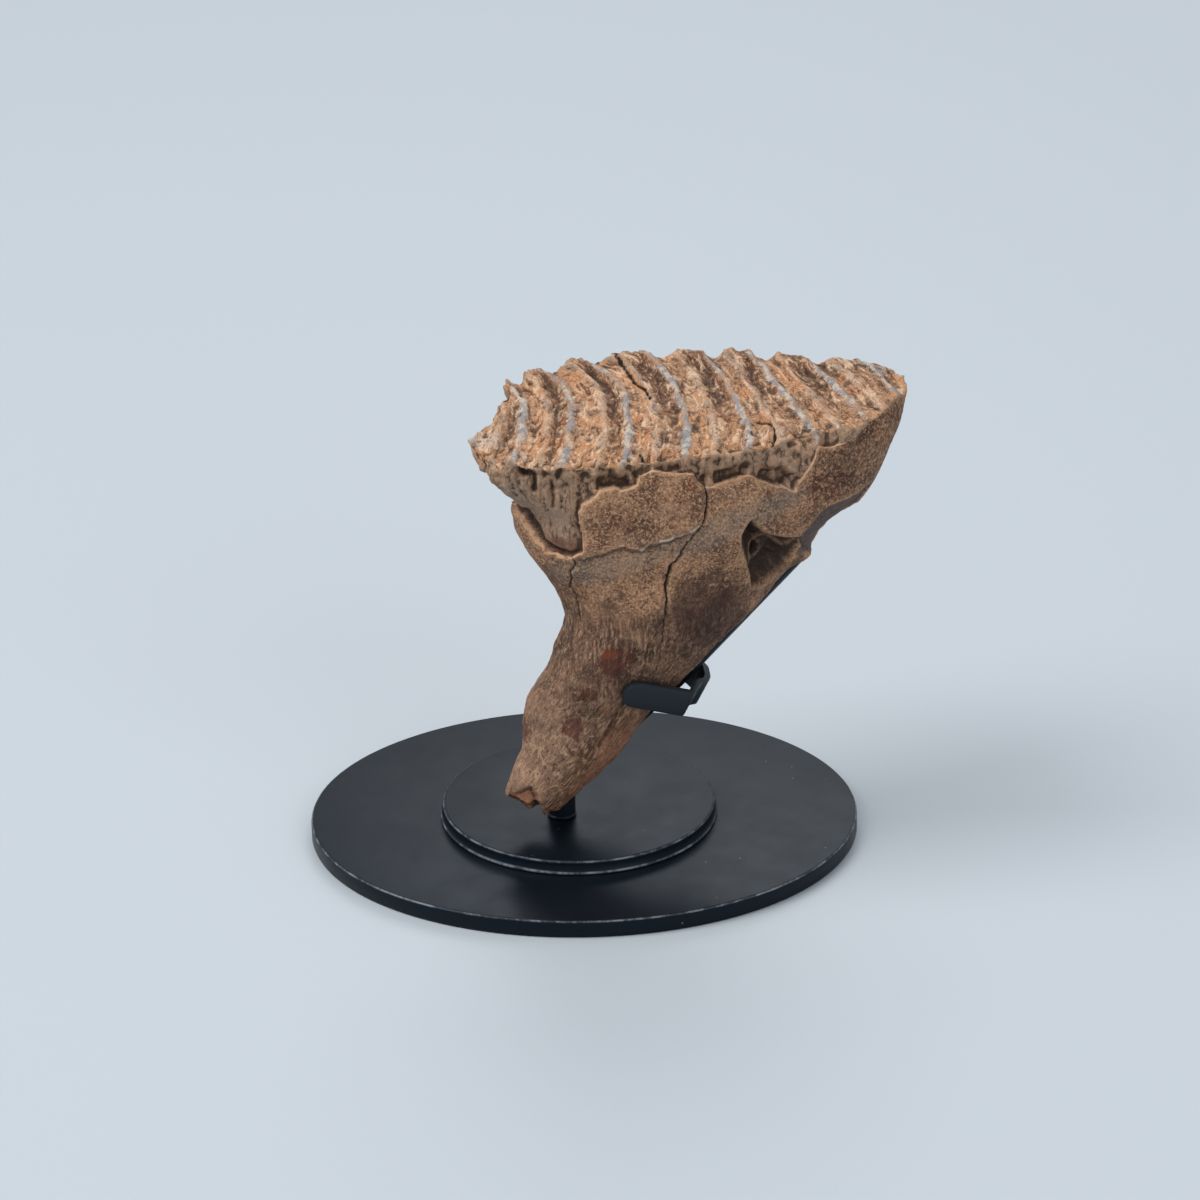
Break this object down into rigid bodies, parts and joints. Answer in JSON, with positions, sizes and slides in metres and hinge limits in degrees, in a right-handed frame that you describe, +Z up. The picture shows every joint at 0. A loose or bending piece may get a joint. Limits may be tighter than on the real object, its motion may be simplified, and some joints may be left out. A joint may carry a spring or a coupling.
{
  "type": "fossil mammoth tooth on a display stand",
  "caption": "Worn fossil molar with a ridged chewing table and a broken root, held upright by a bent rod and a wrap-round claw on an oval base.",
  "frame": {"origin": "centre of the oval base's underside", "axes": "+Z up, +X along the oval base's long side, toward the crown's overhanging end, +Y away from the front tab of the claw"},
  "size_m": [0.1631, 0.1272, 0.1278],
  "materials": {
    "fossil": "dry mineralised enamel, dentine and cement in browns",
    "satin_paint": "satin black"
  },
  "bodies": {
    "root": {"tooth": "fossil", "base_plate": "satin_paint", "riser_disc": "satin_paint", "support_rod": "satin_paint", "claw_strap": "satin_paint"}
  },
  "joints": []
}
